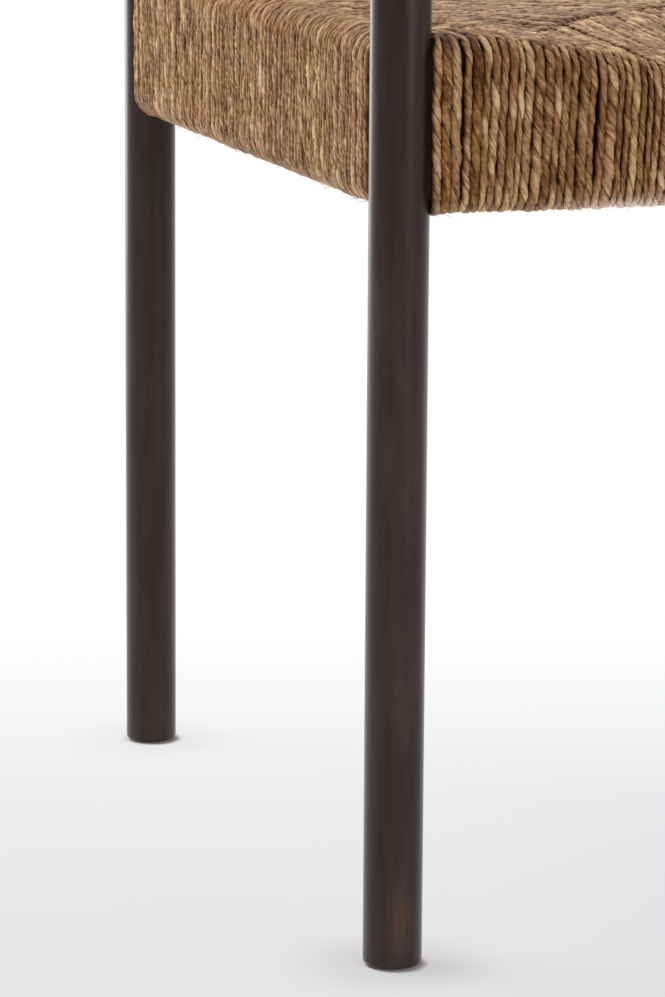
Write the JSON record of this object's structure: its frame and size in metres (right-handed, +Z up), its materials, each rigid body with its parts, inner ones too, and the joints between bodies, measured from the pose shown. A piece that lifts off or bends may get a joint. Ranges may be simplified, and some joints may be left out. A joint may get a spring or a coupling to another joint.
{
  "type": "woven seagrass stool",
  "caption": "Backless stool with round dark wooden posts standing proud of a saddle-shaped seat of twisted seagrass cord, wound over deep rails and meeting on diagonal mitres.",
  "frame": {"origin": "on the floor under the middle of the seat", "axes": "+Z up, +X to the right and -Y toward the front, where the scooped front edge faces"},
  "size_m": [0.51, 0.51, 0.519],
  "materials": {
    "post_wood": "satin dark espresso stain, faint grain along the post",
    "rail_wood": "dark espresso stain, unpolished under the cord",
    "seagrass": "two-ply twisted grass cord, dry and uneven, tan to brown",
    "stuffing": "packed kraft paper and grass offcuts",
    "nylon": "matt dark brown moulded nylon",
    "steel": "bright wire nail and tack steel"
  },
  "bodies": {
    "root": {"post_front_left": "post_wood", "post_front_right": "post_wood", "post_rear_left": "post_wood", "post_rear_right": "post_wood", "rail_front": "rail_wood", "rail_rear": "rail_wood", "rail_left": "rail_wood", "rail_right": "rail_wood", "weave_front": "seagrass", "weave_rear": "seagrass", "weave_left": "seagrass", "weave_right": "seagrass", "stuffing_front": "stuffing", "stuffing_rear": "stuffing", "stuffing_left": "stuffing", "stuffing_right": "stuffing", "glide_front_left": "nylon", "glide_front_right": "nylon", "glide_rear_left": "nylon", "glide_rear_right": "nylon", "glide_nails": "steel", "cord_tacks": "steel"}
  },
  "joints": []
}
